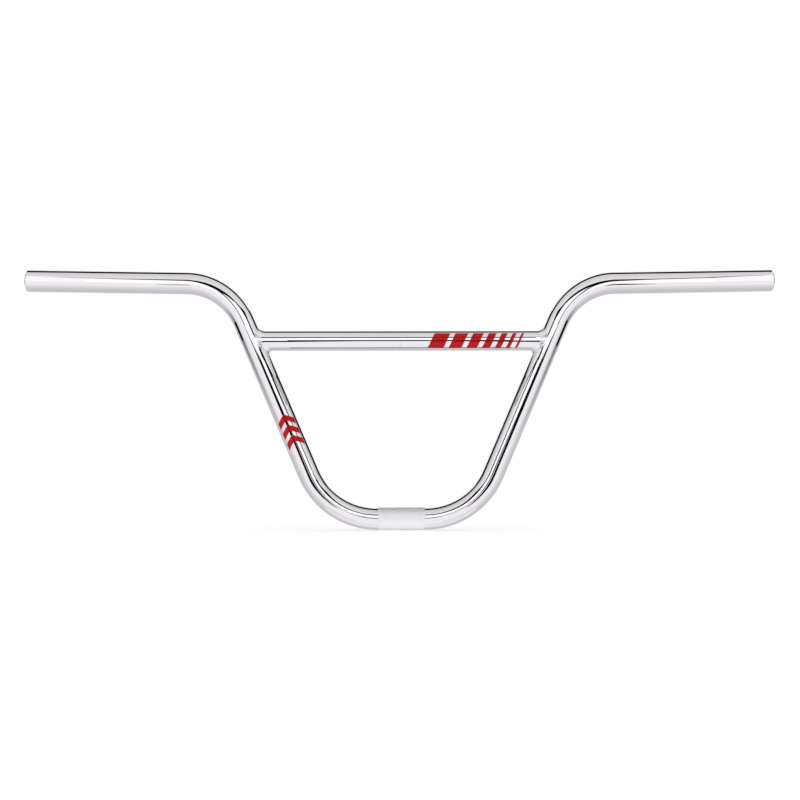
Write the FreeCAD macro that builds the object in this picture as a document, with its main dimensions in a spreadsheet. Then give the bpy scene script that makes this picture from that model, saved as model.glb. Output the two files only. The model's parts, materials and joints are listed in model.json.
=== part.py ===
import FreeCAD, Part
import math
import os
import Sketcher
from FreeCAD import Vector

# A BMX handlebar: one bent main tube, a crossbar coped in between its legs and a weld bead round
# each joint. Millimetres and degrees. The origin is the middle of the stem clamp, +X runs along
# the clamp axis, +Z is up, and the grips sweep back towards +Y, the rider's side.
doc = FreeCAD.newDocument("bmx_handlebar")

# Driving dimensions
SIZES = {
    "bar_width": 762,
    "bar_rise": 241,
    "backsweep_angle": 11,
    "upsweep_angle": 1.3,
    "leg_angle": 67,
    "clamp_run": 49,
    "lower_bend_radius": 74,
    "upper_bend_radius": 65,
    "tube_diameter": 22.2,
    "tube_wall": 1.25,
    "end_chamfer": 0.8,
    "knurl_length": 48,
    "knurl_height": 0.4,
    "knurl_lead": 0.5,
    "crossbar_height": 179,
    "crossbar_diameter": 20,
    "crossbar_wall": 1,
    "weld_leg": 3.5,
}

# What the driving dimensions give: the corners where the straight runs of the right half would
# meet if the tube had no bend radii, the runs that the bends leave straight, and the crossbar joint
LAYOUT = {
    "tube_radius": "Sizes.tube_diameter / 2",
    "crossbar_radius": "Sizes.crossbar_diameter / 2",
    "grip_x": "cos(Sizes.upsweep_angle) * cos(Sizes.backsweep_angle)",
    "grip_y": "cos(Sizes.upsweep_angle) * sin(Sizes.backsweep_angle)",
    "grip_z": "sin(Sizes.upsweep_angle)",
    "end_x": "Sizes.bar_width / 2 - (tube_radius - Sizes.end_chamfer) * sqrt(1 - grip_x ^ 2)",
    "clamp_half": "Sizes.clamp_run / 2",
    "lower_tangent": "Sizes.lower_bend_radius * tan(Sizes.leg_angle / 2)",
    "lower_corner_x": "clamp_half + lower_tangent",
    "grip_length": "(end_x - lower_corner_x - Sizes.bar_rise / tan(Sizes.leg_angle))"
    " / (grip_x - grip_z / tan(Sizes.leg_angle))",
    "leg_length": "(Sizes.bar_rise - grip_length * grip_z) / sin(Sizes.leg_angle)",
    "upper_turn": "acos(cos(Sizes.leg_angle) * grip_x + sin(Sizes.leg_angle) * grip_z) / 1 deg",
    "upper_tangent": "Sizes.upper_bend_radius * tan(upper_turn / 2)",
    "upper_roll": "180 + atan2(grip_y; grip_x * sin(Sizes.leg_angle)"
    " - grip_z * cos(Sizes.leg_angle)) / 1 deg",
    "half_leg_run": "(leg_length - lower_tangent - upper_tangent) / 2",
    "mid_leg_x": "lower_corner_x + (lower_tangent + half_leg_run) * cos(Sizes.leg_angle)",
    "mid_leg_z": "(lower_tangent + half_leg_run) * sin(Sizes.leg_angle)",
    "grip_run": "grip_length - upper_tangent",
    "joint_x": "lower_corner_x + Sizes.crossbar_height / tan(Sizes.leg_angle)",
    "joint_reach": "Sizes.tube_diameter + Sizes.crossbar_diameter + 2 * Sizes.weld_leg",
    "bevel_reach": "(tube_radius + crossbar_radius) / sin(Sizes.leg_angle) + Sizes.weld_leg",
    "bevel_turn": "90 + (90 - Sizes.leg_angle) / 2",
}

# Turns that stand a section across the leg, and lie a path along it
ACROSS_LEG = "rotation(0; 0; -Sizes.leg_angle)"
ALONG_LEG = "rotation(Sizes.leg_angle; 0; Layout.upper_roll)"


def add_sheet(name, cells):
    """A sheet with one named cell to a row."""
    sheet = doc.addObject("Spreadsheet::Sheet", name)
    for row, (alias, text) in enumerate(cells, start=1):
        sheet.set(f"A{row}", alias)
        sheet.set(f"B{row}", text)
        sheet.setAlias(f"B{row}", alias)
    doc.recompute()
    return sheet


def add_body(name):
    body = doc.addObject("PartDesign::Body", name)
    body.Label = name
    return body


def origin_plane(body, role):
    return next(plane for plane in body.Origin.OriginFeatures if plane.Role == role)


def add_sketch(body, name, role, offset=None):
    """A sketch on one of its body's own planes, moved by an offset expression if there is one."""
    sketch = body.newObject("Sketcher::SketchObject", name)
    sketch.AttachmentSupport = [(origin_plane(body, role), "")]
    sketch.MapMode = "FlatFace"
    if offset:
        sketch.setExpression("AttachmentOffset", offset)
    return sketch


def constrain(sketch, name, expression, *constraint):
    """A named dimension of a sketch, bound to the sheets."""
    index = sketch.addConstraint(Sketcher.Constraint(*constraint))
    sketch.renameConstraint(index, name)
    sketch.setExpression(f"Constraints.{name}", expression)


def add_ring(sketch, diameter, wall):
    """A tube's section: two concentric circles on the sketch's origin."""
    radius = sizes.get(diameter) / 2
    circles = {
        "outer": (radius, f"Sizes.{diameter} / 2"),
        "inner": (radius - sizes.get(wall), f"Sizes.{diameter} / 2 - Sizes.{wall}"),
    }
    for name, (size, expression) in circles.items():
        circle = sketch.addGeometry(Part.Circle(Vector(), Vector(0, 0, 1), size), False)
        sketch.addConstraint(Sketcher.Constraint("Coincident", circle, 3, -1, 1))
        constrain(sketch, name, expression, "Radius", circle, size)


def add_bend(sketch, lead, radius, turn, run):
    """A bent tube's centreline: a straight lead along the sketch's X axis, an arc and a straight run.

    Each size is an expression. The drawn shape starts at those sizes, so that the constraints only hold it.
    """
    lead_size, radius_size, turn_size, run_size = (
        float(sketch.evalExpression(text)) for text in (lead, radius, turn, run)
    )
    angle = math.radians(turn_size)
    middle = Vector(lead_size, radius_size, 0)
    bend_start = Vector(lead_size, 0, 0)
    bend_end = middle + Vector(math.sin(angle), -math.cos(angle), 0) * radius_size
    run_end = bend_end + Vector(math.cos(angle), math.sin(angle), 0) * run_size
    circle = Part.Circle(middle, Vector(0, 0, 1), radius_size)
    quarter = math.pi / 2
    sketch.addGeometry(Part.LineSegment(Vector(), bend_start), False)
    sketch.addGeometry(Part.ArcOfCircle(circle, -quarter, angle - quarter), False)
    sketch.addGeometry(Part.LineSegment(bend_end, run_end), False)
    sketch.addConstraint(Sketcher.Constraint("Coincident", 0, 1, -1, 1))
    sketch.addConstraint(Sketcher.Constraint("PointOnObject", 0, 2, -1))
    sketch.addConstraint(Sketcher.Constraint("Tangent", 0, 2, 1, 1))
    sketch.addConstraint(Sketcher.Constraint("Tangent", 1, 2, 2, 1))
    constrain(sketch, "lead", lead, "DistanceX", 0, 1, 0, 2, lead_size)
    constrain(sketch, "radius", radius, "Radius", 1, radius_size)
    constrain(sketch, "turn", f"({turn}) * 1 deg", "Angle", 2, angle)
    constrain(sketch, "run", run, "Distance", 2, run_size)


def add_pipe(body, name, section, path):
    pipe = body.newObject("PartDesign::AdditivePipe", name)
    pipe.Profile = section
    pipe.Spine = (path, [f"Edge{number + 1}" for number in range(path.GeometryCount)])
    doc.recompute()
    return pipe


def mirror_halves(body, name, features):
    """The left half of a body, mirrored from the features of its right half."""
    mirror = body.newObject("PartDesign::Mirrored", name)
    mirror.Originals = features
    mirror.MirrorPlane = (origin_plane(body, "YZ_Plane"), [""])
    body.Tip = mirror
    doc.recompute()
    return mirror


def add_main_tube():
    """One chromed steel tube with four bends: the clamp, two legs and two grips swept back and up.

    The right half is two bent pipes that meet in the middle of the leg.
    """
    body = add_body("main_tube")
    mid_leg = "vector(Layout.mid_leg_x; Layout.mid_leg_z; 0)"
    across_mid_leg = "vector(0; Layout.mid_leg_z; Layout.mid_leg_x)"

    clamp_section = add_sketch(body, "clamp_section", "YZ_Plane")
    add_ring(clamp_section, "tube_diameter", "tube_wall")
    leg_path = add_sketch(body, "leg_path", "XZ_Plane")
    add_bend(
        leg_path, "Layout.clamp_half", "Sizes.lower_bend_radius", "Sizes.leg_angle", "Layout.half_leg_run"
    )
    leg = add_pipe(body, "leg", clamp_section, leg_path)

    leg_section = add_sketch(body, "leg_section", "YZ_Plane", f"placement({across_mid_leg}; {ACROSS_LEG})")
    add_ring(leg_section, "tube_diameter", "tube_wall")
    grip_path = add_sketch(body, "grip_path", "XZ_Plane", f"placement({mid_leg}; {ALONG_LEG})")
    add_bend(
        grip_path, "Layout.half_leg_run", "Sizes.upper_bend_radius", "Layout.upper_turn", "Layout.grip_run"
    )
    grip = add_pipe(body, "grip", leg_section, grip_path)
    mirror_halves(body, "left_half", [leg, grip])

    add_knurl_band(body)
    chamfer_ends(body)
    return body


def add_knurl_band(body):
    """The raised band that the stem grips, with a short lead at each end, turned about the clamp."""
    half = sizes.get("knurl_length") / 2
    lead = sizes.get("knurl_lead")
    root = sizes.get("tube_diameter") / 2 - sizes.get("tube_wall") / 2
    crest = sizes.get("tube_diameter") / 2 + sizes.get("knurl_height")
    corners = [
        Vector(-half, root, 0),
        Vector(half, root, 0),
        Vector(half - lead, crest, 0),
        Vector(lead - half, crest, 0),
    ]
    sketch = add_sketch(body, "knurl_section", "XZ_Plane")
    for first, second in zip(corners, corners[1:] + corners[:1]):
        sketch.addGeometry(Part.LineSegment(first, second), False)
    for side in range(4):
        sketch.addConstraint(Sketcher.Constraint("Coincident", side, 2, (side + 1) % 4, 1))
    sketch.addConstraint(Sketcher.Constraint("Symmetric", 0, 1, 0, 2, -2))
    sketch.addConstraint(Sketcher.Constraint("Symmetric", 2, 1, 2, 2, -2))
    constrain(sketch, "length", "Sizes.knurl_length", "DistanceX", 0, 1, 0, 2, 2 * half)
    constrain(sketch, "lead", "Sizes.knurl_lead", "DistanceX", 1, 2, 1, 1, lead)
    constrain(sketch, "root", "Layout.tube_radius - Sizes.tube_wall / 2", "DistanceY", -1, 1, 0, 1, root)
    constrain(sketch, "crest", "Layout.tube_radius + Sizes.knurl_height", "DistanceY", -1, 1, 2, 1, crest)
    band = body.newObject("PartDesign::Revolution", "knurl_band")
    band.Profile = sketch
    band.ReferenceAxis = (sketch, ["H_Axis"])
    band.Angle = 360
    doc.recompute()


def chamfer_ends(body):
    """The deburred outer edge of each bar end."""
    base = body.Tip
    radius = layout.get("tube_radius")
    end_x = layout.get("end_x")
    ends = [
        f"Edge{number}"
        for number, edge in enumerate(base.Shape.Edges, start=1)
        if isinstance(edge.Curve, Part.Circle)
        and math.isclose(edge.Curve.Radius, radius, abs_tol=1e-4)
        and math.isclose(abs(edge.Curve.Center.x), end_x, abs_tol=1e-4)
    ]
    chamfer = body.newObject("PartDesign::Chamfer", "end_chamfers")
    chamfer.Base = (base, ends)
    chamfer.setExpression("Size", "Sizes.end_chamfer")
    doc.recompute()


def add_crossbar():
    """The straight crossbar, its ends coped to the outside of the legs."""
    body = add_body("crossbar")
    height = "vector(0; Sizes.crossbar_height; 0)"
    section = add_sketch(body, "crossbar_section", "YZ_Plane", f"placement({height}; rotation(0; 0; 0))")
    add_ring(section, "crossbar_diameter", "crossbar_wall")
    tube = body.newObject("PartDesign::Pad", "crossbar_tube")
    tube.Profile = section
    tube.SideType = "Symmetric"
    tube.setExpression("Length", "2 * Layout.joint_x")

    joint = "vector(0; Sizes.crossbar_height; Layout.joint_x)"
    cope_section = add_sketch(body, "cope_section", "YZ_Plane", f"placement({joint}; {ACROSS_LEG})")
    radius = layout.get("tube_radius")
    cope_section.addGeometry(Part.Circle(Vector(), Vector(0, 0, 1), radius), False)
    cope_section.addConstraint(Sketcher.Constraint("Coincident", 0, 3, -1, 1))
    constrain(cope_section, "leg", "Layout.tube_radius", "Radius", 0, radius)
    doc.recompute()
    cope = body.newObject("PartDesign::Pocket", "cope")
    cope.Profile = cope_section
    cope.SideType = "Symmetric"
    cope.setExpression("Length", "2 * Layout.joint_reach")
    doc.recompute()
    mirror_halves(body, "left_cope", [cope])
    return body


def place(start, turn):
    """The placement of a solid that starts at a point and runs off in the bar's plane, turned from +Z."""
    return f"placement(vector({start}); rotation(vector(0; 1; 0); {turn}))"


def add_round(name, radius, start, turn):
    """A cylinder that stands for one of the two tubes where they meet, or for its round made larger."""
    cylinder = doc.addObject("Part::Cylinder", name)
    cylinder.setExpression("Radius", radius)
    cylinder.setExpression("Height", "2 * Layout.joint_reach")
    cylinder.setExpression("Placement", place(start, turn))
    return cylinder


def add_bevel():
    """A cone with its tip on the crossbar's axis, which slopes from tube to tube at the weld's leg.

    Its own axis runs midway between the crossbar's axis and the square to the leg.
    """
    cone = doc.addObject("Part::Cone", "bevel")
    cone.Radius1 = 0
    cone.setExpression("Radius2", "Layout.joint_reach")
    cone.setExpression("Height", "Layout.joint_reach")
    tip = "Layout.joint_x - Layout.bevel_reach; 0; Sizes.crossbar_height"
    cone.setExpression("Placement", place(tip, "Layout.bevel_turn"))
    return cone


def cut(name, base, tool):
    result = doc.addObject("Part::Cut", name)
    result.Base = base
    result.Tool = tool
    return result


def add_welds():
    """The weld beads, one modelled at the right joint and one mirrored.

    A bead fills the corner between the tubes as far as the weld's leg: inside the crossbar's round made
    larger by it and the leg's round moved by it towards the crossbar, and bevelled above and below.
    """
    along_leg = "90 - Sizes.leg_angle"
    along_crossbar = "-90"
    leg_x = "Layout.joint_x - Layout.joint_reach * cos(Sizes.leg_angle)"
    leg_z = "Sizes.crossbar_height - Layout.joint_reach * sin(Sizes.leg_angle)"
    moved_x = f"{leg_x} - Sizes.weld_leg * sin(Sizes.leg_angle)"
    moved_z = f"{leg_z} + Sizes.weld_leg * cos(Sizes.leg_angle)"
    leg_start = f"{leg_x}; 0; {leg_z}"
    moved_start = f"{moved_x}; 0; {moved_z}"
    bar_start = "Layout.joint_x + Layout.joint_reach; 0; Sizes.crossbar_height"

    leg = add_round("leg_round", "Layout.tube_radius", leg_start, along_leg)
    moved_leg = add_round("moved_leg_round", "Layout.tube_radius", moved_start, along_leg)
    bar = add_round("crossbar_round", "Layout.crossbar_radius", bar_start, along_crossbar)
    collar = add_round("collar_round", "Layout.crossbar_radius + Sizes.weld_leg", bar_start, along_crossbar)
    bead = doc.addObject("Part::MultiCommon", "bead")
    bead.Shapes = [collar, moved_leg, add_bevel()]
    right = cut("weld_right", cut("bead_on_leg", bead, leg), bar)
    left = doc.addObject("Part::Mirroring", "weld_left")
    left.Source = right
    left.Normal = Vector(1, 0, 0)
    doc.recompute()
    right.Label = "weld_right"
    left.Label = "weld_left"
    return [left, right]


sizes = add_sheet("Sizes", [(name, str(value)) for name, value in SIZES.items()])
layout = add_sheet("Layout", [(name, f"={formula}") for name, formula in LAYOUT.items()])
sub_parts = [add_main_tube(), add_crossbar(), *add_welds()]
doc.recompute()

for item in doc.Objects:
    if "Invalid" in item.State or "Error" in item.State:
        raise RuntimeError(f"{item.Label} did not build")
for part in sub_parts:
    if part.Shape.isNull() or not part.Shape.isValid():
        raise RuntimeError(f"{part.Label} has no valid shape")

os.makedirs("parts", exist_ok=True)
for part in sub_parts:
    part.Shape.exportStep(os.path.join("parts", f"{part.Label}.step"))
    print(part.Label, len(part.Shape.Solids), round(part.Shape.Volume, 1), part.Shape.BoundBox)
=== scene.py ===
import json
import math

import bpy
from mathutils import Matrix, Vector


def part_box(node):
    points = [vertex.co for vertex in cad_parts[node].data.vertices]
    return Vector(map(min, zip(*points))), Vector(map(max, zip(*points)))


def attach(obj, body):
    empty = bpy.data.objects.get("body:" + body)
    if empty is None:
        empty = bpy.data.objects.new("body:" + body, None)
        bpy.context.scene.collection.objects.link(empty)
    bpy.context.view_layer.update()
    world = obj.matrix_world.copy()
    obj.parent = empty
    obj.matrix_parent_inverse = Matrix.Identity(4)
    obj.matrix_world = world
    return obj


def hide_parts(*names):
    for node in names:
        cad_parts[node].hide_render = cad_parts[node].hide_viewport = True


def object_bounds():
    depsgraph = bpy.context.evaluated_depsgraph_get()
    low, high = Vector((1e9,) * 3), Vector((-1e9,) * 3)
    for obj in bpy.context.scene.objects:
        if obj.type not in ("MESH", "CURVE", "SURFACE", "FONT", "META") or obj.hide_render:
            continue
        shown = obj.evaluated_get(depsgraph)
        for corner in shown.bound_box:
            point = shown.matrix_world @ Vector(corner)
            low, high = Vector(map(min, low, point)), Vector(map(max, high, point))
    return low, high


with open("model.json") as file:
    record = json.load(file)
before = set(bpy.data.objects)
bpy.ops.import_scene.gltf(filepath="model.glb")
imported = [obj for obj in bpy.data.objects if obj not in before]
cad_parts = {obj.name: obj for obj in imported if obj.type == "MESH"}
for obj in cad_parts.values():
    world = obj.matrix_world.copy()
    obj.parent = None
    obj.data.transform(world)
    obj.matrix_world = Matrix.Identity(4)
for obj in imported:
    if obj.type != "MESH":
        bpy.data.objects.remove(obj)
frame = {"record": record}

cad_low, cad_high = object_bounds()
mounts = {mount["name"]: mount for mount in frame["record"]["mounts"]}


# Main tube
# One drawn steel tube of 22.2 mm, bent four times into a clamp run, two legs and two grips that sweep
# back and slightly up. Its ends are cut square and deburred, and it is polished and chrome plated
# outside, while the bore stays bare steel.
MM = 0.001
TUBE_RADIUS = mounts["right_grip"]["dims"]["r_mm"] * MM
TUBE_WALL = TUBE_RADIUS - mounts["right_bar_end"]["dims"]["r_mm"] * MM
LEG_ANGLE = math.radians(67)
CLAMP_RUN = 49 * MM
LOWER_BEND_RADIUS = 74 * MM
UPPER_BEND_RADIUS = 65 * MM
END_CHAMFER = 0.8 * MM
TUBE_SIDES = 96
ACROSS = (0, math.pi / 2, 0)
BEND_STEPS = 64
MERGE_DISTANCE = 0.002 * MM
SMOOTH_ANGLE = math.radians(35)
TONE_SIZE = 120 * MM
HAZE_STARTS = 0.35
HAZE_FULL = 0.7
STAIN_SIZE = 6 * MM

leg_heading = Vector((math.cos(LEG_ANGLE), 0, math.sin(LEG_ANGLE)))
grip_heading = Vector(mounts["right_bar_end"]["axis"])
grip_run = grip_heading * mounts["right_bar_end"]["dims"]["length_mm"] * MM
grip_start = Vector(mounts["right_bar_end"]["pos_m"]) - grip_run / 2
bar_end = grip_start + grip_run


def linear(hex_colour):
    """An sRGB hex colour as linear RGBA."""
    channels = [int(hex_colour[start:start + 2], 16) / 255 for start in (1, 3, 5)]
    return [c / 12.92 if c <= 0.04045 else ((c + 0.055) / 1.055) ** 2.4 for c in channels] + [1]


def add_node(tree, kind, settings, links=()):
    """A node with its settings, each a socket or a property, and the sockets that feed it."""
    node = tree.nodes.new(kind)
    for name, value in settings.items():
        if isinstance(name, int) or name in node.inputs:
            node.inputs[name].default_value = value
        else:
            setattr(node, name, value)
    for name, source in dict(links).items():
        tree.links.new(source, node.inputs[name])
    return node


def new_material(name):
    """An empty node material, with its tree and its output node."""
    material = bpy.data.materials.new(name)
    material.use_nodes = True
    tree = material.node_tree
    tree.nodes.clear()
    return material, tree, tree.nodes.new("ShaderNodeOutputMaterial")


def chromium(name, dull, bright, smooth, hazy, haze_size, wave_size, wave_depth):
    """Chromium plating: a near-neutral metal mirror, a little cold.

    The plating follows the steel below it, so long shallow waves bend the reflections, and a faint haze
    from buffing and handling spreads them here and there.
    """
    material, tree, output = new_material(name)
    place = add_node(tree, "ShaderNodeTexCoord", {}).outputs["Object"]
    tone = add_node(tree, "ShaderNodeTexNoise", {"Scale": 1 / TONE_SIZE, "Detail": 2}, {"Vector": place})
    colour = add_node(tree, "ShaderNodeValToRGB", {}, {"Fac": tone.outputs["Fac"]})
    colour.color_ramp.elements[0].color = linear(dull)
    colour.color_ramp.elements[1].color = linear(bright)
    haze = add_node(tree, "ShaderNodeTexNoise", {"Scale": 1 / haze_size, "Detail": 4}, {"Vector": place})
    spread = add_node(
        tree,
        "ShaderNodeMapRange",
        {"From Min": HAZE_STARTS, "From Max": HAZE_FULL, "To Min": smooth, "To Max": hazy},
        {"Value": haze.outputs["Fac"]},
    )
    wave = add_node(tree, "ShaderNodeTexNoise", {"Scale": 1 / wave_size, "Detail": 1}, {"Vector": place})
    bump = add_node(
        tree, "ShaderNodeBump", {"Strength": 1, "Distance": wave_depth}, {"Height": wave.outputs["Fac"]}
    )
    metal = add_node(
        tree,
        "ShaderNodeBsdfPrincipled",
        {"Metallic": 1},
        {
            "Base Color": colour.outputs["Color"],
            "Roughness": spread.outputs["Result"],
            "Normal": bump.outputs["Normal"],
        },
    )
    tree.links.new(metal.outputs["BSDF"], output.inputs["Surface"])
    return material


def bare_steel(name):
    """The drawn bore: dull grey-brown steel, stained here and there by a film of oil."""
    material, tree, output = new_material(name)
    place = add_node(tree, "ShaderNodeTexCoord", {}).outputs["Object"]
    stain = add_node(tree, "ShaderNodeTexNoise", {"Scale": 1 / STAIN_SIZE, "Detail": 6}, {"Vector": place})
    colour = add_node(tree, "ShaderNodeValToRGB", {}, {"Fac": stain.outputs["Fac"]})
    colour.color_ramp.elements[0].color = linear("#4A4642")
    colour.color_ramp.elements[1].color = linear("#77736D")
    metal = add_node(
        tree,
        "ShaderNodeBsdfPrincipled",
        {"Metallic": 1, "Roughness": 0.45},
        {"Base Color": colour.outputs["Color"]},
    )
    tree.links.new(metal.outputs["BSDF"], output.inputs["Surface"])
    return material


def name_new(name):
    """The object that was just added, named, with its turn and place put into its mesh."""
    piece = bpy.context.object
    piece.name = name
    piece.data.name = name
    bpy.ops.object.transform_apply(location=True, rotation=True, scale=True)
    return piece


def extrude_ring(run):
    """A straight run of tube from the selected ring."""
    bpy.ops.mesh.extrude_region_move(TRANSFORM_OT_translate={"value": run})


def bend_ring(start, heading, next_heading, radius):
    """A bend of the tube from the selected ring, from one heading to the next."""
    turn = heading.angle(next_heading)
    inward = (next_heading - heading * math.cos(turn)).normalized()
    axis = inward.cross(heading)
    bpy.ops.mesh.spin(steps=BEND_STEPS, angle=turn, center=start + inward * radius, axis=axis)


def mirror_left(piece):
    """The left half, mirrored from the right and joined to it, all faces pointing out."""
    bpy.ops.object.mode_set(mode="OBJECT")
    mirror = piece.modifiers.new("left_half", "MIRROR")
    mirror.merge_threshold = MERGE_DISTANCE
    bpy.ops.object.modifier_apply(modifier=mirror.name)
    bpy.ops.object.mode_set(mode="EDIT")
    bpy.ops.mesh.select_all(action="SELECT")
    bpy.ops.mesh.remove_doubles(threshold=MERGE_DISTANCE)
    bpy.ops.mesh.normals_make_consistent(inside=False)
    bpy.ops.object.mode_set(mode="OBJECT")


def thicken_inwards(piece, wall, bore_material=0):
    """The wall of a tube whose mesh is its outside."""
    solidify = piece.modifiers.new("wall", "SOLIDIFY")
    solidify.thickness = wall
    solidify.offset = -1
    solidify.material_offset = bore_material
    bpy.ops.object.modifier_apply(modifier=solidify.name)


bpy.ops.object.select_all(action="DESELECT")
bpy.ops.mesh.primitive_circle_add(vertices=TUBE_SIDES, radius=TUBE_RADIUS, rotation=ACROSS)
main_tube = name_new("main_tube_chromed")
bpy.ops.object.mode_set(mode="EDIT")
bpy.ops.mesh.select_all(action="SELECT")
clamp_end = Vector((CLAMP_RUN / 2, 0, 0))
along_clamp = Vector((1, 0, 0))
extrude_ring(clamp_end)
bend_ring(clamp_end, along_clamp, leg_heading, LOWER_BEND_RADIUS)
lower_tangent = LOWER_BEND_RADIUS * math.tan(LEG_ANGLE / 2)
upper_tangent = UPPER_BEND_RADIUS * math.tan(leg_heading.angle(grip_heading) / 2)
leg_start = clamp_end + (along_clamp + leg_heading) * lower_tangent
leg_end = grip_start - (leg_heading + grip_heading) * upper_tangent
extrude_ring(leg_end - leg_start)
bend_ring(leg_end, leg_heading, grip_heading, UPPER_BEND_RADIUS)
extrude_ring(grip_run)
mirror_left(main_tube)

main_tube.data.materials.append(
    chromium(
        "polished_chromium",
        "#EAE8EA",
        "#F0EEF0",
        smooth=0.02,
        hazy=0.05,
        haze_size=4 * MM,
        wave_size=45 * MM,
        wave_depth=0.03 * MM,
    )
)
main_tube.data.materials.append(bare_steel("bare_drawn_steel"))
thicken_inwards(main_tube, TUBE_WALL, bore_material=1)


def at_bar_end(point):
    """Whether a point is on the outer edge of one of the bar's ends."""
    offset = Vector((abs(point.x), point.y, point.z)) - bar_end
    flush = abs(offset.dot(grip_heading)) < MERGE_DISTANCE
    return flush and offset.length > TUBE_RADIUS - TUBE_WALL / 2


def edit_edges(piece, chosen):
    """Edit mode with only those edges selected whose two points the test picks."""
    for part in (*piece.data.vertices, *piece.data.polygons):
        part.select = False
    for edge in piece.data.edges:
        edge.select = chosen(*(piece.data.vertices[index].co for index in edge.vertices))
    bpy.context.tool_settings.mesh_select_mode = (False, True, False)
    bpy.ops.object.mode_set(mode="EDIT")


edit_edges(main_tube, lambda first, second: at_bar_end(first) and at_bar_end(second))
bpy.ops.mesh.bevel(offset=END_CHAMFER, segments=1)
bpy.ops.object.mode_set(mode="OBJECT")
bpy.ops.object.shade_smooth_by_angle(angle=SMOOTH_ANGLE)
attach(main_tube, "root")
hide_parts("main_tube")


# Knurled band
# Diamond knurling, rolled into the middle of the clamp run so that the stem can't let the bar turn. The
# rolling raises the steel a little, and the plated points scatter light like frost.
KNURL_RADIUS = mounts["stem_clamp"]["dims"]["r_mm"] * MM
KNURL_LENGTH = mounts["stem_clamp"]["dims"]["length_mm"] * MM
KNURL_PITCH = 1 * MM
KNURL_DEPTH = 0.2 * MM
KNURL_SINK = 0.3 * MM
KNURL_ROOT = TUBE_RADIUS - KNURL_SINK

half_pitches_around = 2 * round(math.pi * KNURL_RADIUS / KNURL_PITCH)
half_pitches_along = 2 * round(KNURL_LENGTH / KNURL_PITCH)
bpy.ops.object.select_all(action="DESELECT")
bpy.ops.mesh.primitive_cylinder_add(
    vertices=half_pitches_around,
    radius=KNURL_RADIUS - KNURL_DEPTH,
    depth=KNURL_LENGTH,
    end_fill_type="NOTHING",
    rotation=ACROSS,
)
knurl = name_new("knurled_band")
edit_edges(knurl, lambda first, second: abs(first.x - second.x) > KNURL_PITCH)
bpy.ops.mesh.subdivide(number_cuts=half_pitches_along - 1)
bpy.ops.mesh.select_all(action="DESELECT")
bpy.ops.object.mode_set(mode="OBJECT")
for vertex in knurl.data.vertices:
    row = round((vertex.co.x / KNURL_LENGTH + 0.5) * half_pitches_along)
    column = round(math.atan2(vertex.co.z, vertex.co.y) / math.tau * half_pitches_around)
    vertex.select = (row + column) % 2 == 0 and 0 < row < half_pitches_along
for part in (*knurl.data.edges, *knurl.data.polygons):
    part.select = False
bpy.ops.object.mode_set(mode="EDIT")
bpy.context.tool_settings.mesh_select_mode = (True, False, False)
crest_scale = KNURL_RADIUS / (KNURL_RADIUS - KNURL_DEPTH)
bpy.ops.transform.resize(value=(1, crest_scale, crest_scale), center_override=(0, 0, 0))
bpy.ops.mesh.select_all(action="SELECT")
bpy.ops.mesh.quads_convert_to_tris(quad_method="SHORTEST_DIAGONAL")
bpy.ops.mesh.select_all(action="DESELECT")
bpy.ops.mesh.select_non_manifold()
bpy.ops.mesh.extrude_region_move()
root_scale = KNURL_ROOT / (KNURL_RADIUS - KNURL_DEPTH)
bpy.ops.transform.resize(value=(1, root_scale, root_scale), center_override=(0, 0, 0))
bpy.ops.mesh.bridge_edge_loops()
bpy.ops.mesh.select_all(action="SELECT")
bpy.ops.mesh.normals_make_consistent(inside=False)
bpy.ops.object.mode_set(mode="OBJECT")
bpy.ops.object.shade_flat()
# Plated points that were never buffed: bright and frosted, with nothing mirrored sharply.
knurl.data.materials.append(
    chromium(
        "chromium_on_knurling",
        "#FAF9FB",
        "#FFFEFF",
        smooth=0.42,
        hazy=0.52,
        haze_size=2 * MM,
        wave_size=8 * MM,
        wave_depth=0.01 * MM,
    )
)
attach(knurl, "root")


# Crossbar
# A thinner steel tube between the legs, straight and level. Each end is coped to the leg's round before
# it is welded, and it is plated together with the main tube.
crossbar_low, crossbar_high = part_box("crossbar")
CROSSBAR_RADIUS = (crossbar_high.z - crossbar_low.z) / 2
CROSSBAR_WALL = 1 * MM
CROSSBAR_HEIGHT = (crossbar_high.z + crossbar_low.z) / 2

joint = leg_start + leg_heading * (CROSSBAR_HEIGHT - leg_start.z) / leg_heading.z
leg_outward = Vector((math.sin(LEG_ANGLE), 0, -math.cos(LEG_ANGLE)))


def on_leg(y, z):
    """Where a line along the crossbar, at a height and a depth, meets the right leg's inner side."""
    inside = math.sqrt(TUBE_RADIUS ** 2 - y ** 2)
    x = joint.x + ((z - joint.z) * math.cos(LEG_ANGLE) - inside) / math.sin(LEG_ANGLE)
    return Vector((x, y, z))


bpy.ops.object.select_all(action="DESELECT")
bpy.ops.mesh.primitive_circle_add(
    vertices=TUBE_SIDES, radius=CROSSBAR_RADIUS, location=(0, 0, CROSSBAR_HEIGHT), rotation=ACROSS
)
crossbar = name_new("crossbar_chromed")
bpy.ops.object.mode_set(mode="EDIT")
bpy.ops.mesh.select_all(action="SELECT")
extrude_ring(Vector((joint.x, 0, 0)))
bpy.ops.object.mode_set(mode="OBJECT")
for vertex in crossbar.data.vertices:
    if vertex.co.x > joint.x / 2:
        vertex.co = on_leg(vertex.co.y, vertex.co.z)
mirror_left(crossbar)
thicken_inwards(crossbar, CROSSBAR_WALL)
bpy.ops.object.shade_smooth_by_angle(angle=SMOOTH_ANGLE)
crossbar.data.materials.append(bpy.data.materials["polished_chromium"])
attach(crossbar, "root")
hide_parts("crossbar")


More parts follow.
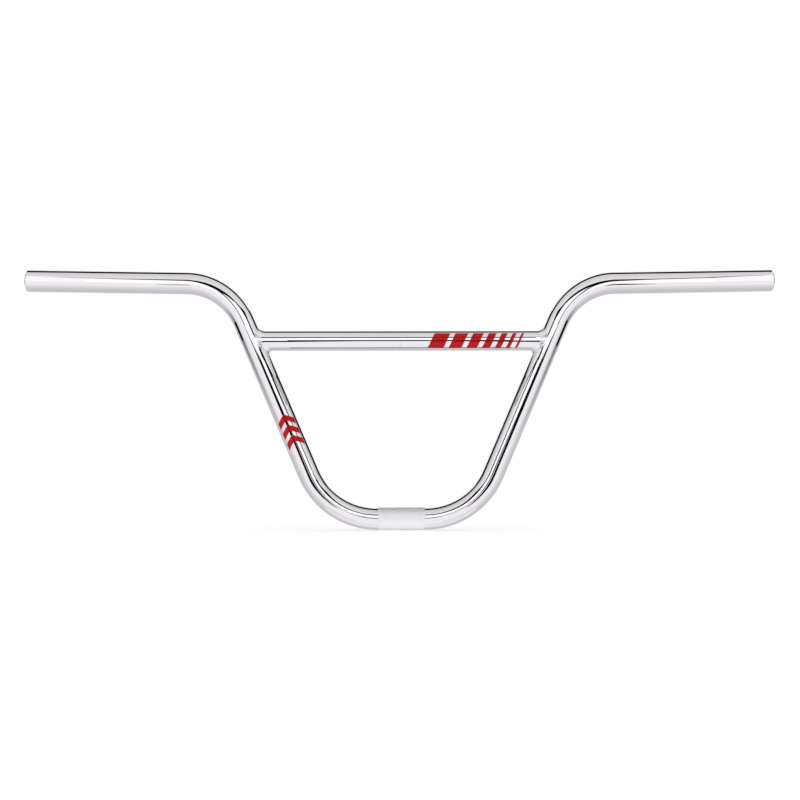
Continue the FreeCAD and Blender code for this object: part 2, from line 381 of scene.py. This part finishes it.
# Weld beads
# One run of weld metal round each end of the crossbar, laid by hand and plated over. It is concave like a
# fillet, runs out smoothly onto both tubes and has the shallow ripples of the cooling pool.
WELD_ON_LEG = 3.5 * MM
WELD_ON_CROSSBAR = 4.6 * MM
WELD_FULLNESS = 0.25
WELD_SINK = 0.25 * MM
RIPPLE_DEPTH = 0.04 * MM
RIPPLE_COUNT = 30
RIPPLE_CURVE = 3
NEARBY_TURN = 1e-4
BEAD_STEPS = 240
BEAD_FACE_STEPS = 18
BEAD_BACK_STEPS = 6


def mouth(turn):
    """The point at an angle round the crossbar where its outside meets the leg."""
    y = -CROSSBAR_RADIUS * math.cos(turn)
    return on_leg(y, CROSSBAR_HEIGHT + CROSSBAR_RADIUS * math.sin(turn))


def unrolled(point):
    """A point of the leg's surface as distances round and along the leg."""
    return math.asin(point.y / TUBE_RADIUS) * TUBE_RADIUS, (point - joint).dot(leg_heading)


def rolled(around, along, radius):
    """The point of the leg for distances round and along it, at a radius from its axis."""
    turn = around / TUBE_RADIUS
    inward = -leg_outward * math.cos(turn) + Vector((0, 1, 0)) * math.sin(turn)
    return joint + leg_heading * along + inward * radius


def bead_section(turn):
    """The toe on the leg, the corner and the toe on the crossbar, and their sunk counterparts."""
    corner = mouth(turn)
    around, along = unrolled(corner)
    next_around, next_along = unrolled(mouth(turn + NEARBY_TURN))
    outward = Vector((next_along - along, around - next_around))
    outward *= math.copysign(WELD_ON_LEG / outward.length, outward.dot(Vector((around, along))))
    around, along = around + outward.x, along + outward.y
    leg_toe, leg_root = (rolled(around, along, r) for r in (TUBE_RADIUS, TUBE_RADIUS - WELD_SINK))
    radial = Vector((0, -math.cos(turn), math.sin(turn)))
    bar_toe = corner - Vector((WELD_ON_CROSSBAR, 0, 0))
    sunk_corner = corner - radial * WELD_SINK + leg_outward * WELD_SINK
    return leg_toe, corner, bar_toe, bar_toe - radial * WELD_SINK, sunk_corner, leg_root


def bead_point(turn, step):
    """A point of the bead's skin: across its face from leg to crossbar, and back inside the tubes."""
    leg_toe, corner, bar_toe, bar_root, sunk_corner, leg_root = bead_section(turn)
    if step <= BEAD_FACE_STEPS:
        share = step / BEAD_FACE_STEPS
        bulge = corner.lerp((leg_toe + bar_toe) / 2, WELD_FULLNESS)
        point = leg_toe.lerp(bulge, share).lerp(bulge.lerp(bar_toe, share), share)
        lift = ((leg_toe + bar_toe) / 2 - corner).normalized()
        crest = math.sin(RIPPLE_COUNT * turn + RIPPLE_CURVE * share ** 2)
        return point + lift * RIPPLE_DEPTH * math.sin(math.pi * share) * crest
    share = (step - BEAD_FACE_STEPS - 1) / (BEAD_BACK_STEPS - 1)
    if share < 0.5:
        return bar_root.lerp(sunk_corner, 2 * share)
    return sunk_corner.lerp(leg_root, 2 * share - 1)


# Plated weld metal that was never buffed: bright, with soft reflections.
weld_chromium = chromium(
    "chromium_on_weld",
    "#F2F1F3",
    "#FAF9FB",
    smooth=0.24,
    hazy=0.34,
    haze_size=3 * MM,
    wave_size=4 * MM,
    wave_depth=0.02 * MM,
)
minor_steps = BEAD_FACE_STEPS + 1 + BEAD_BACK_STEPS
for side, name in ((1, "weld_right"), (-1, "weld_left")):
    bpy.ops.object.select_all(action="DESELECT")
    bpy.ops.mesh.primitive_torus_add(
        major_segments=BEAD_STEPS,
        minor_segments=minor_steps,
        major_radius=CROSSBAR_RADIUS,
        minor_radius=WELD_ON_LEG,
    )
    bead = name_new(f"{name}_bead")
    for vertex in bead.data.vertices:
        around, step = divmod(vertex.index, minor_steps)
        point = bead_point(around / BEAD_STEPS * math.tau, step)
        vertex.co = Vector((point.x * side, point.y, point.z))
    bpy.ops.object.mode_set(mode="EDIT")
    bpy.ops.mesh.select_all(action="SELECT")
    bpy.ops.mesh.normals_make_consistent(inside=False)
    bpy.ops.object.mode_set(mode="OBJECT")
    bpy.ops.object.shade_smooth()
    bead.data.materials.append(weld_chromium)
    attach(bead, "root")
    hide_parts(name)


# Stripes
# Red metallised vinyl film, cut into slanted bars on the crossbar and into chevrons on the left leg, and
# stuck on the plating by hand.
FILM_THICKNESS = 0.06 * MM
FILM_LIFT = 0.02 * MM
BAR_WIDTHS = [width * MM for width in (16, 13, 10.5, 8, 6, 4, 2.5)]
BAR_GAP = 5 * MM
BAR_SLANT = 0.45
BAR_HALF_HEIGHT = 8.2 * MM
BARS_START = 30 * MM
CHEVRON_COUNT = 3
CHEVRON_WIDTH = 6.5 * MM
CHEVRON_PITCH = 11 * MM
CHEVRON_SLANT = 0.75
CHEVRON_HALF_HEIGHT = 9.5 * MM
CHEVRONS_HEIGHT = 92 * MM
FILM_STEPS_ALONG = 8
FILM_STEPS_AROUND = 34
FILM_TONE_SIZE = 5 * MM
FILM_GRAIN_SIZE = 0.8 * MM
FILM_SMOOTH = 0.3
FILM_ROUGH = 0.42


def red_film(name):
    """Red vinyl film with a metal layer below the colour: a red sheen that blurs what it mirrors."""
    material, tree, output = new_material(name)
    place = add_node(tree, "ShaderNodeTexCoord", {}).outputs["Object"]
    tone = add_node(
        tree, "ShaderNodeTexNoise", {"Scale": 1 / FILM_TONE_SIZE, "Detail": 3}, {"Vector": place}
    )
    colour = add_node(tree, "ShaderNodeValToRGB", {}, {"Fac": tone.outputs["Fac"]})
    colour.color_ramp.elements[0].color = linear("#A80B16")
    colour.color_ramp.elements[1].color = linear("#E0201C")
    grain = add_node(
        tree, "ShaderNodeTexNoise", {"Scale": 1 / FILM_GRAIN_SIZE, "Detail": 2}, {"Vector": place}
    )
    spread = add_node(
        tree,
        "ShaderNodeMapRange",
        {"To Min": FILM_SMOOTH, "To Max": FILM_ROUGH},
        {"Value": grain.outputs["Fac"]},
    )
    film = add_node(
        tree,
        "ShaderNodeBsdfPrincipled",
        {"Metallic": 0.9, "Coat Weight": 0.15, "Coat Roughness": 0.04},
        {"Base Color": colour.outputs["Color"], "Roughness": spread.outputs["Result"]},
    )
    tree.links.new(film.outputs["BSDF"], output.inputs["Surface"])
    return material


def add_strip(name, width, half_height, place_on_tube):
    """One strip of film: a flat grid, wrapped on its tube and given the film's thickness."""
    bpy.ops.object.select_all(action="DESELECT")
    bpy.ops.mesh.primitive_grid_add(
        x_subdivisions=FILM_STEPS_ALONG, y_subdivisions=FILM_STEPS_AROUND, size=1
    )
    strip = name_new(name)
    for vertex in strip.data.vertices:
        vertex.co = place_on_tube(vertex.co.x * width, vertex.co.y * 2 * half_height)
    solidify = strip.modifiers.new("film", "SOLIDIFY")
    solidify.thickness = FILM_THICKNESS
    solidify.offset = 1
    bpy.ops.object.modifier_apply(modifier=solidify.name)
    return strip


def join_strips(strips, name):
    """One piece of all the strips of a design."""
    bpy.ops.object.select_all(action="DESELECT")
    for strip in strips:
        strip.select_set(True)
    bpy.context.view_layer.objects.active = strips[0]
    bpy.ops.object.join()
    piece = name_new(name)
    bpy.ops.object.shade_smooth_by_angle(angle=SMOOTH_ANGLE)
    return piece


def on_crossbar(along, around):
    """A point of the crossbar's front for distances along and round it."""
    radius = CROSSBAR_RADIUS + FILM_LIFT
    turn = around / CROSSBAR_RADIUS
    return Vector((along, -radius * math.cos(turn), CROSSBAR_HEIGHT + radius * math.sin(turn)))


def on_left_leg(along, around):
    """A point of the left leg's front for distances along it, from the chevrons' middle, and round it."""
    radius = TUBE_RADIUS + FILM_LIFT
    turn = around / TUBE_RADIUS
    from_start = (CHEVRONS_HEIGHT - leg_start.z) / leg_heading.z + along
    outward = leg_outward * math.sin(turn) - Vector((0, 1, 0)) * math.cos(turn)
    point = leg_start + leg_heading * from_start + outward * radius
    return Vector((-point.x, point.y, point.z))


film = red_film("red_metallised_vinyl")
bars = []
bar_start = BARS_START
for index, width in enumerate(BAR_WIDTHS):
    middle = bar_start + width / 2
    bars.append(
        add_strip(
            f"bar_{index}",
            width,
            BAR_HALF_HEIGHT,
            lambda along, around: on_crossbar(middle + along + around * BAR_SLANT, around),
        )
    )
    bar_start += width + BAR_GAP
chevrons = []
for index in range(CHEVRON_COUNT):
    middle = (index - (CHEVRON_COUNT - 1) / 2) * CHEVRON_PITCH
    chevrons.append(
        add_strip(
            f"chevron_{index}",
            CHEVRON_WIDTH,
            CHEVRON_HALF_HEIGHT,
            lambda along, around: on_left_leg(middle + along - abs(around) * CHEVRON_SLANT, around),
        )
    )
for strips, name in ((bars, "crossbar_stripes"), (chevrons, "leg_chevrons")):
    design = join_strips(strips, name)
    design.data.materials.append(film)
    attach(design, "root")


# Studio
# A white paper table in white surroundings. Panels of cloth and card stand round the bar, as they do for
# any chromed thing: bright ones in front, grey ones overhead, below and at the sides, and black flags and
# cards that draw the dark lines along the tubes.
TABLE_SIZE = 30
TABLE_HEIGHT = cad_low.z
TABLE_LIFT = 0.34
ROOM_LIGHT = 0.75

world = bpy.data.worlds.new("white_room")
bpy.context.scene.world = world
world.use_nodes = True
tree = world.node_tree
tree.nodes.clear()
rays = add_node(tree, "ShaderNodeLightPath", {}).outputs
mirrored = add_node(
    tree,
    "ShaderNodeMath",
    {"operation": "MAXIMUM"},
    {0: rays["Is Glossy Ray"], 1: rays["Is Transmission Ray"]},
)
seen = add_node(
    tree,
    "ShaderNodeMath",
    {"operation": "MAXIMUM"},
    {0: rays["Is Camera Ray"], 1: mirrored.outputs["Value"]},
)
strength = add_node(
    tree, "ShaderNodeMapRange", {"To Min": ROOM_LIGHT, "To Max": 1}, {"Value": seen.outputs["Value"]}
)
room = add_node(
    tree, "ShaderNodeBackground", {"Color": linear("#FFFFFF")}, {"Strength": strength.outputs["Result"]}
)
room_output = tree.nodes.new("ShaderNodeOutputWorld")
tree.links.new(room.outputs["Background"], room_output.inputs["Surface"])

bpy.ops.object.select_all(action="DESELECT")
bpy.ops.mesh.primitive_plane_add(size=TABLE_SIZE, location=(0, 0, TABLE_HEIGHT))
table = name_new("table")
# Matt white paper, which holds a soft shadow. A glow for the camera alone takes it from grey to white.
white_paper, tree, output = new_material("white_paper")
paper = add_node(tree, "ShaderNodeBsdfDiffuse", {"Color": linear("#F4F4F5")})
rays = add_node(tree, "ShaderNodeLightPath", {}).outputs
lift = add_node(
    tree, "ShaderNodeMath", {"operation": "MULTIPLY", 1: TABLE_LIFT}, {0: rays["Is Camera Ray"]}
)
glow = add_node(tree, "ShaderNodeEmission", {}, {"Strength": lift.outputs["Value"]})
lit = add_node(tree, "ShaderNodeAddShader", {}, {0: paper.outputs["BSDF"], 1: glow.outputs["Emission"]})
tree.links.new(lit.outputs["Shader"], output.inputs["Surface"])
table.data.materials.append(white_paper)
# The chrome doesn't mirror the table, because panels below stand in for it.
table.visible_glossy = False


def panel_light(name, hex_colour, strength):
    """An even glow, as a diffuser or a card gives it."""
    material, tree, output = new_material(name)
    glow = add_node(tree, "ShaderNodeEmission", {"Color": linear(hex_colour), "Strength": strength})
    tree.links.new(glow.outputs["Emission"], output.inputs["Surface"])
    return material


def graded_light(name, hex_colour, axis, start, end, first, last):
    """A glow that changes evenly along one axis."""
    material, tree, output = new_material(name)
    place = add_node(tree, "ShaderNodeTexCoord", {}).outputs["Object"]
    parts = add_node(tree, "ShaderNodeSeparateXYZ", {}, {"Vector": place})
    fall = add_node(
        tree,
        "ShaderNodeMapRange",
        {"From Min": start, "From Max": end, "To Min": first, "To Max": last},
        {"Value": parts.outputs[axis]},
    )
    glow = add_node(
        tree, "ShaderNodeEmission", {"Color": linear(hex_colour)}, {"Strength": fall.outputs["Result"]}
    )
    tree.links.new(glow.outputs["Emission"], output.inputs["Surface"])
    return material


def show_in_reflections_only(piece, material):
    """Makes a panel that the camera and the table don't see."""
    piece.data.materials.append(material)
    piece.visible_camera = False
    piece.visible_diffuse = False
    piece.visible_shadow = False


def add_panel(name, material, corners):
    """A flat panel with four corners, given in their order round it."""
    bpy.ops.object.select_all(action="DESELECT")
    bpy.ops.mesh.primitive_plane_add(size=1)
    panel = name_new(name)
    for index, corner in zip(panel.data.polygons[0].vertices, corners):
        panel.data.vertices[index].co = corner
    show_in_reflections_only(panel, material)


def upright(depth, points):
    """The corners of a panel across the view, from points that each have a place across and a height."""
    return [(x, depth, z) for x, z in points]


def between(low, high):
    """The corners of a panel that lies or stands square between two opposite corners."""
    flat = min(range(3), key=lambda axis: abs(high[axis] - low[axis]))
    first = 1 if flat == 0 else 0
    second, third = list(low), list(high)
    second[first], third[first] = high[first], low[first]
    return [low, second, high, third]


def add_ribbon(name, material, depth, stations):
    """A bent panel across the view: stations along it, each with the points of its two edges."""
    bpy.ops.object.select_all(action="DESELECT")
    bpy.ops.mesh.primitive_grid_add(x_subdivisions=len(stations) - 1, y_subdivisions=1, size=1)
    ribbon = name_new(name)
    for vertex in ribbon.data.vertices:
        low, high = stations[round((vertex.co.x + 0.5) * (len(stations) - 1))]
        x, z = high if vertex.co.y > 0 else low
        vertex.co = (x, depth, z)
    show_in_reflections_only(ribbon, material)


FRONT = -1.4
LAYER = 0.01
FRONT_PANEL = FRONT + LAYER
FRONT_FLAG = FRONT + 2 * LAYER
LOW_FLAG = FRONT + 3 * LAYER
NEAR_PANEL = -0.105
NEAR_FLAG = -0.1
NEAR_FOOT = 0.228
NEAR_LAST_STATION = 9
END_PANEL_SIDE = 0.56
END_PANEL_TOP = 0.55
GROUND = -1
GROUND_REACH = 9
PANEL_FOOT = 0.12
PANEL_TOP = 0.72
PANEL_SIDE = 1.25
GABLE = [(-0.62, 0.42), (0, 1.3), (0.65, 0.68), (0.65, 0.3)]
RIGHT_POST = [(1, 0.49), (1.36, 0.6), (1.62, 0.98), (1.12, 0.84)]
OVERHEAD = 1.6
OVERHEAD_BACK = 0.4
REAR_FLAG_BACK = 1.6
SIDE = 1.9
SIDE_BACK = 0.45
SIDE_FLAG_BACK = 2.1
SIDE_FLAG_FOOT = -0.1
FAR_FALL_START = -1.9
FAR_FALL_END = 0.3
CARD = 0.62
CARD_FRONT = -0.06
CARD_BACK = 0.22
CARD_FOOT = 0
CARD_TOP = 0.06
GREY_CARD_FRONT = -0.1
GREY_CARD_BACK = 0.26
GREY_CARD_FOOT = -0.12
GREY_CARD_TOP = 0.08
# Two opposite corners of each panel that lies or stands in the middle of the view.
CROSSBAR_LOW_FLAG = (-0.112, -0.008, 0.15), (0.112, -0.0045, 0.15)
CROSSBAR_FRONT_FLAG = (-0.115, -0.06, 0.1735), (0.115, -0.06, 0.186)
CENTRE_LOW_PANEL = (-0.3, FRONT, GROUND + LAYER), (0.3, -0.3, GROUND + LAYER)
CLAMP_LOW_PANEL = (-0.1, -0.022, -0.02), (0.1, -0.0045, -0.02)
MIDDLE_CARD = (0, -0.06, 0.08), (0, -0.015, 0.165)
# Bent flags, as stations that each give the points of the two edges.
LEFT_RAFTER = [
    ((0, 1), (0, 1.45)),
    ((-0.08, 1.04), (-0.1, 1.45)),
    ((-0.26, 0.95), (-0.42, 1.45)),
    ((-0.39, 0.72), (-0.74, 1.28)),
    ((-0.57, 0.68), (-1.4, 1.45)),
    ((-0.74, 0.56), (-1.1, 0.8)),
    ((-0.68, 0.34), (-1.1, 0.5)),
]
RIGHT_RAFTER = [
    ((0, 1), (0, 1.45)),
    ((0.12, 1.04), (0.16, 1.45)),
    ((0.33, 1), (0.45, 1.35)),
    ((0.49, 0.8), (0.8, 1.25)),
    ((0.67, 0.69), (1.6, 1.55)),
    ((0.78, 0.48), (1.2, 0.74)),
]
LEFT_LOW_FLAG = [
    ((0.03, 0.17), (0.03, 0.3)),
    ((-0.04, 0.02), (-0.1, 0.22)),
    ((-0.15, -0.17), (-0.28, 0.17)),
    ((-0.33, -0.26), (-0.46, 0.15)),
    ((-0.58, -0.3), (-0.46, 0)),
]
RIGHT_LOW_FLAG = [
    ((0.03, 0.17), (0.03, 0.3)),
    ((0.1, 0.02), (0.1, 0.23)),
    ((0.22, -0.2), (0.36, 0.175)),
    ((0.33, -0.24), (0.54, 0.13)),
    ((0.6, -0.28), (0.63, -0.08)),
]
# Thin lines, as stations that each give a place across, a height and half the thickness.
LEFT_LINE = [
    (-0.144, 0.267, 0.007),
    (-0.171, 0.275, 0.009),
    (-0.187, 0.276, 0.014),
    (-0.199, 0.276, 0.019),
    (-0.223, 0.28, 0.0135),
    (-0.245, 0.284, 0.0086),
    (-0.273, 0.295, 0.0082),
    (-0.302, 0.307, 0.0092),
    (-0.341, 0.32, 0.0092),
    (-0.381, 0.342, 0.007),
    (-0.424, 0.365, 0.0037),
]
RIGHT_LINE = [
    (0.143, 0.27, 0.007),
    (0.174, 0.277, 0.0086),
    (0.202, 0.281, 0.0105),
    (0.216, 0.278, 0.016),
    (0.2285, 0.275, 0.021),
    (0.25, 0.281, 0.019),
    (0.276, 0.288, 0.0145),
    (0.308, 0.308, 0.0121),
    (0.348, 0.325, 0.0116),
    (0.388, 0.348, 0.014),
    (0.484, 0.465, 0.008),
]
# Short flags below those lines, as stations that each give the points of the two edges.
LEFT_BRANCH = [
    ((-0.178, 0.193), (-0.164, 0.193)),
    ((-0.184, 0.215), (-0.17, 0.215)),
    ((-0.19, 0.23), (-0.175, 0.23)),
    ((-0.203, 0.262), (-0.184, 0.262)),
]
RIGHT_BRANCH = [
    ((0.169, 0.193), (0.182, 0.193)),
    ((0.189, 0.226), (0.203, 0.223)),
    ((0.199, 0.24), (0.213, 0.236)),
    ((0.208, 0.262), (0.228, 0.255)),
]
LEFT_STEP = [
    ((-0.262, 0.195), (-0.262, 0.203)),
    ((-0.273, 0.191), (-0.273, 0.205)),
    ((-0.3, 0.196), (-0.3, 0.199)),
]
RIGHT_STEP = [
    ((0.262, 0.193), (0.262, 0.21)),
    ((0.276, 0.1875), (0.276, 0.214)),
    ((0.318, 0.193), (0.318, 0.198)),
]
white_panel = panel_light("white_panel", "#FFFFFF", strength=1.25)
pale_panel = panel_light("pale_panel", "#FFFFFF", strength=1.13)
grey_panel = panel_light("grey_panel", "#FFFFFF", strength=0.92)
low_panel = panel_light("low_panel", "#FDFCFF", strength=1.03)
overhead_panel = graded_light(
    "overhead_panel", "#FFFDFE", axis="Y", start=FRONT, end=OVERHEAD_BACK, first=0.9, last=0.74
)
far_panel = graded_light(
    "far_panel", "#FDFCFF", axis="Y", start=FAR_FALL_START, end=FAR_FALL_END, first=1.1, last=0.66
)
grey_card = graded_light(
    "grey_card", "#FDFCFF", axis="Z", start=GREY_CARD_FOOT, end=CARD_FOOT, first=0.66, last=0.24
)
middle_card = panel_light("middle_card", "#FFFDFE", strength=0.82)
black_flag = panel_light("black_flag", "#0A0A0B", strength=1)
add_panel(
    "ground_panel",
    far_panel,
    between((-GROUND_REACH, -GROUND_REACH, GROUND), (GROUND_REACH, GROUND_REACH, GROUND)),
)
add_panel("front_low_panel", low_panel, between((-SIDE, FRONT, GROUND), (SIDE, FRONT, PANEL_FOOT)))
add_panel("front_grey_panel", grey_panel, between((-SIDE, FRONT, PANEL_FOOT), (SIDE, FRONT, OVERHEAD)))
add_panel(
    "front_white_panel",
    white_panel,
    between((-PANEL_SIDE, FRONT_PANEL, PANEL_FOOT), (PANEL_SIDE, FRONT_PANEL, PANEL_TOP)),
)
add_panel("front_gable", white_panel, upright(FRONT_PANEL, GABLE))
add_ribbon("left_rafter", black_flag, FRONT_FLAG, LEFT_RAFTER)
add_ribbon("right_rafter", black_flag, FRONT_FLAG, RIGHT_RAFTER)
add_panel("right_post", black_flag, upright(FRONT_FLAG, RIGHT_POST))
add_ribbon("left_low_flag", black_flag, LOW_FLAG, LEFT_LOW_FLAG)
add_ribbon("right_low_flag", black_flag, LOW_FLAG, RIGHT_LOW_FLAG)
add_panel(
    "overhead_panel", overhead_panel, between((-SIDE, FRONT, OVERHEAD), (SIDE, OVERHEAD_BACK, OVERHEAD))
)
add_panel(
    "rear_flag", black_flag, between((-SIDE, OVERHEAD_BACK, OVERHEAD), (SIDE, REAR_FLAG_BACK, OVERHEAD))
)
add_panel("crossbar_low_flag", black_flag, between(*CROSSBAR_LOW_FLAG))
add_panel("crossbar_front_flag", black_flag, between(*CROSSBAR_FRONT_FLAG))
add_panel("centre_low_panel", low_panel, between(*CENTRE_LOW_PANEL))
add_panel("clamp_low_panel", grey_panel, between(*CLAMP_LOW_PANEL))
add_panel("middle_card", middle_card, between(*MIDDLE_CARD))
for side, word, line, branch, step in (
    (-1, "left", LEFT_LINE, LEFT_BRANCH, LEFT_STEP),
    (1, "right", RIGHT_LINE, RIGHT_BRANCH, RIGHT_STEP),
):
    edge, card = side * SIDE, side * CARD
    behind_card = card + side * MM
    band = [((x, z - half), (x, z + half)) for x, z, half in line]
    below = [((x, NEAR_FOOT), (x, z)) for x, z, half in line]
    below.append(((side * END_PANEL_SIDE, NEAR_FOOT), (side * END_PANEL_SIDE, END_PANEL_TOP)))
    add_ribbon(f"{word}_line", black_flag, NEAR_FLAG, band)
    add_ribbon(f"{word}_branch", black_flag, NEAR_FLAG, branch)
    add_ribbon(f"{word}_step", black_flag, NEAR_FLAG, step)
    add_ribbon(f"{word}_near_panel", white_panel, NEAR_PANEL, below[:NEAR_LAST_STATION + 1])
    add_ribbon(f"{word}_end_panel", pale_panel, NEAR_PANEL, below[NEAR_LAST_STATION:])
    add_panel(f"{word}_wall", far_panel, between((edge, FRONT, GROUND), (edge, SIDE_BACK, OVERHEAD)))
    add_panel(
        f"{word}_flag",
        black_flag,
        between((edge, SIDE_BACK, SIDE_FLAG_FOOT), (edge, SIDE_FLAG_BACK, OVERHEAD)),
    )
    add_panel(
        f"{word}_card",
        black_flag,
        between((card, CARD_FRONT, CARD_FOOT), (card, CARD_BACK, CARD_TOP)),
    )
    add_panel(
        f"{word}_grey_card",
        grey_card,
        between(
            (behind_card, GREY_CARD_FRONT, GREY_CARD_FOOT), (behind_card, GREY_CARD_BACK, GREY_CARD_TOP)
        ),
    )


# Camera
# A long lens about 2.9 m in front of the bar, level with the middle of its height. It stands one degree to
# the left of straight ahead, and is rolled by less than a tenth of a degree.
CAMERA_DISTANCE = 2.9
CAMERA_ORBIT = math.radians(1)
CAMERA_ROLL = math.radians(0.08)
CAMERA_HEIGHT = 0.1194
CAMERA_OFFSET = -0.0011
LENS_MM = 129.8
SENSOR_MM = 36

lens = bpy.data.cameras.new("long_lens")
lens.sensor_width = SENSOR_MM
lens.lens = LENS_MM
camera = bpy.data.objects.new("camera", lens)
bpy.context.scene.collection.objects.link(camera)
camera.location = (
    CAMERA_OFFSET * math.cos(CAMERA_ORBIT) - CAMERA_DISTANCE * math.sin(CAMERA_ORBIT),
    -CAMERA_OFFSET * math.sin(CAMERA_ORBIT) - CAMERA_DISTANCE * math.cos(CAMERA_ORBIT),
    CAMERA_HEIGHT,
)
camera.rotation_euler = (math.pi / 2, CAMERA_ROLL, -CAMERA_ORBIT)
bpy.context.scene.camera = camera
bpy.context.scene.view_settings.view_transform = "Standard"
